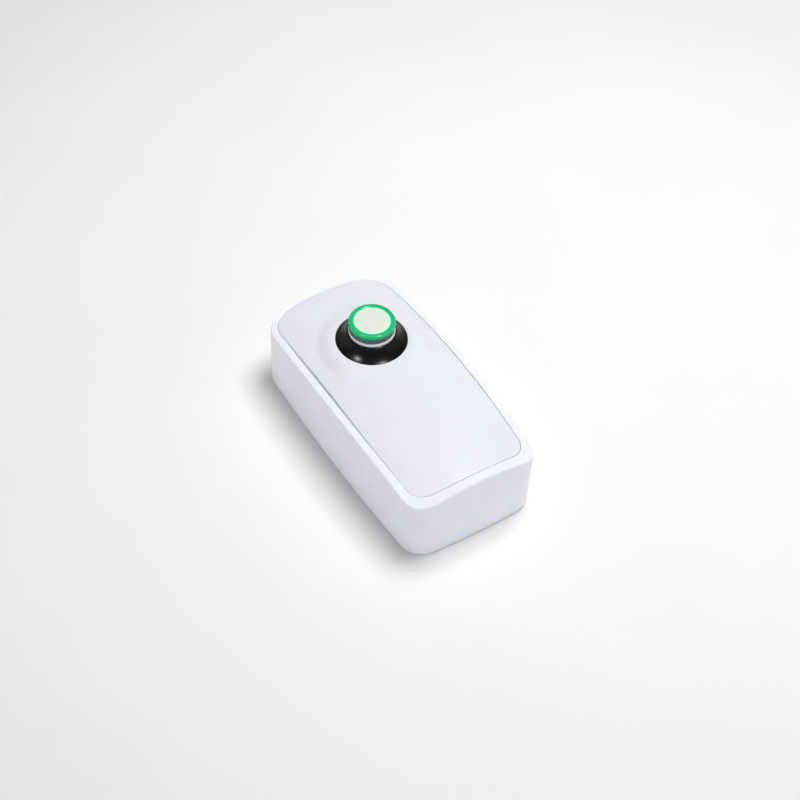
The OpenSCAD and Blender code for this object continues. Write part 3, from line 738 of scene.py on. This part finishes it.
NODE_MATERIALS = {
    "back_plate": plate_grey,
    "perimeter_seal": rubber_black,
    "screw_seals": rubber_black,
    "mount_seals": rubber_black,
    "collar_gasket": rubber_black,
    "wiper_seal": rubber_black,
    "cable_grommet": grommet_black,
    "housing_screws": steel,
    "board_screws": steel,
    "barrel_washer": steel,
    "retaining_clip": steel,
    "switch_axle": steel,
    "switch_lever": steel,
    "terminal_clamps": steel,
    "screw_inserts": brass,
    "switch_terminals": brass,
    "barrel_nut": plastic("nut_plastic", (0.62, 0.62, 0.63), 0.5),
    "plunger": natural,
    "lamp_holder": natural,
    "lamp_board": plastic("lamp_board_mask", (0.82, 0.82, 0.80), 0.35),
    "actuator_foot": plastic("foot_plastic", (0.72, 0.26, 0.04), 0.4),
    "circuit_board": board,
    "lamp_leds": plastic("led_lens", (0.55, 0.85, 0.68), 0.12, Transmission_Weight=0.4),
    "switch_case": plastic("switch_plastic", (0.03, 0.03, 0.032), 0.45),
    "switch_cover": plastic("switch_cover_plastic", (0.05, 0.05, 0.055), 0.45),
    "switch_pin": plastic("pin_plastic", (0.55, 0.02, 0.02), 0.3),
    "terminal_block": plastic("terminal_plastic", (0.015, 0.22, 0.09), 0.42),
    "relay": plastic("relay_plastic", (0.02, 0.09, 0.34), 0.3),
    "capacitors": plastic("capacitor_sleeve", (0.015, 0.02, 0.08), 0.3),
    "board_chips": plastic("chip_plastic", (0.02, 0.02, 0.02), 0.5, depth=0.01 * MM),
}


def dress_nodes():
    """Gives each CAD node that stays its material and creased edges."""
    for name, material in NODE_MATERIALS.items():
        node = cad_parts[name]
        node.data.materials.clear()
        node.data.materials.append(material)
        for polygon in node.data.polygons:
            polygon.material_index = 0
        node.data.set_sharp_from_angle(angle=math.radians(30))


# ---------------------------------------------------------------- camera, floor and light

def make_camera():
    """The camera at the reference view: a direction, a roll, a distance and a focal length."""
    azimuth, elevation = math.radians(-34.17), math.radians(48.41)
    roll = math.radians(3.05)
    target = Vector((0.32, -1.45, 38.28)) * MM
    distance, focal_px = 1.1703, 1646.1
    back = Vector((math.sin(azimuth) * math.cos(elevation),
                   -math.cos(azimuth) * math.cos(elevation), math.sin(elevation)))
    data = bpy.data.cameras.new("camera")
    data.sensor_width = 36
    data.lens = focal_px / 800 * data.sensor_width
    data.clip_start, data.clip_end = 0.05, 50
    camera = bpy.data.objects.new("camera", data)
    bpy.context.scene.collection.objects.link(camera)
    camera.location = target + back * distance
    camera.rotation_mode = "QUATERNION"
    turn = (-back).to_track_quat("-Z", "Y")
    camera.rotation_quaternion = turn @ Quaternion((0, 0, 1), roll)
    bpy.context.scene.camera = camera


def make_floor():
    """A wide pale floor just under the back plate."""
    bm = bmesh.new()
    size, z = 6, -0.2 * MM
    bm.faces.new([bm.verts.new((x, y, z)) for x, y in
                  ((-size, -size), (size, -size), (size, size), (-size, size))])
    floor = add_object(bm, "floor")
    n = Nodes("floor_paper")
    n.link(n.mixed(n.noise(0.12, 2.0), (0.905, 0.905, 0.90), (0.92, 0.92, 0.915)),
           n.shader.inputs["Base Color"])
    n.set(Roughness=0.8)
    n.shader.inputs["Specular IOR Level"].default_value = 0.1
    floor.data.materials.append(n.material)


def area_light(name, place, aim, size, power):
    """A square soft box of a size, turned towards a point."""
    data = bpy.data.lights.new(name, "AREA")
    data.shape = "RECTANGLE"
    data.size = data.size_y = size
    data.energy = power
    light = bpy.data.objects.new(name, data)
    bpy.context.scene.collection.objects.link(light)
    light.location = place
    light.rotation_mode = "QUATERNION"
    light.rotation_quaternion = (Vector(aim) - Vector(place)).to_track_quat("-Z", "Y")
    return light


SKY_TOP = 0.24                         # the dome's brightness overhead
SKY_BAND = 1.0                         # added near the horizon on the camera's side
KEY_PLACE, KEY_POWER = (0.33, 0.03, 1.27), 13.3
GLINTS = [((-0.77, -0.07, 1.0), 9.0), ((0.17, -0.46, 1.16), 16.0)]   # shine on the collar


def make_light():
    """A dome that is brightest low down on the left and near sides, and one high soft box."""
    world = bpy.data.worlds.new("studio")
    world.use_nodes = True
    tree = world.node_tree

    def ramp(value, start, stop, low, high):
        node = tree.nodes.new("ShaderNodeMapRange")
        node.interpolation_type = "SMOOTHSTEP"
        for name, number in (("From Min", start), ("From Max", stop),
                             ("To Min", low), ("To Max", high)):
            node.inputs[name].default_value = number
        tree.links.new(value, node.inputs["Value"])
        return node.outputs["Result"]

    def sums(operation, first, *rest):
        node = tree.nodes.new("ShaderNodeMath")
        node.operation = operation
        for socket, value in zip(node.inputs, (first, *rest)):
            if isinstance(value, float):
                socket.default_value = value
            else:
                tree.links.new(value, socket)
        return node.outputs["Value"]

    background = tree.nodes["Background"]
    background.inputs["Color"].default_value = (1, 1, 1, 1)
    place = tree.nodes.new("ShaderNodeTexCoord")
    split = tree.nodes.new("ShaderNodeSeparateXYZ")
    tree.links.new(place.outputs["Generated"], split.inputs["Vector"])
    low_down = ramp(split.outputs["Z"], 0.12, 0.58, 1, 0)
    facing = ramp(sums("ADD", split.outputs["X"], split.outputs["Y"]), 0.0, 0.9, 1, 0.2)
    band = sums("MULTIPLY", low_down, facing)
    tree.links.new(sums("MULTIPLY_ADD", band, SKY_BAND, SKY_TOP), background.inputs["Strength"])
    bpy.context.scene.world = world
    key = area_light("key", KEY_PLACE, (0, 0, 0.03), 0.6, KEY_POWER)
    key.visible_glossy = False
    for i, (place, power) in enumerate(GLINTS):
        glint = area_light("glint_%d" % i, place, BUTTON, 0.13, power)
        glint.visible_diffuse = False


make_camera()
make_floor()
make_light()
make_housing()
make_panel()
make_collar()
make_trim()
make_cap()
make_spring()
dress_nodes()
bpy.context.scene.view_settings.view_transform = "Standard"
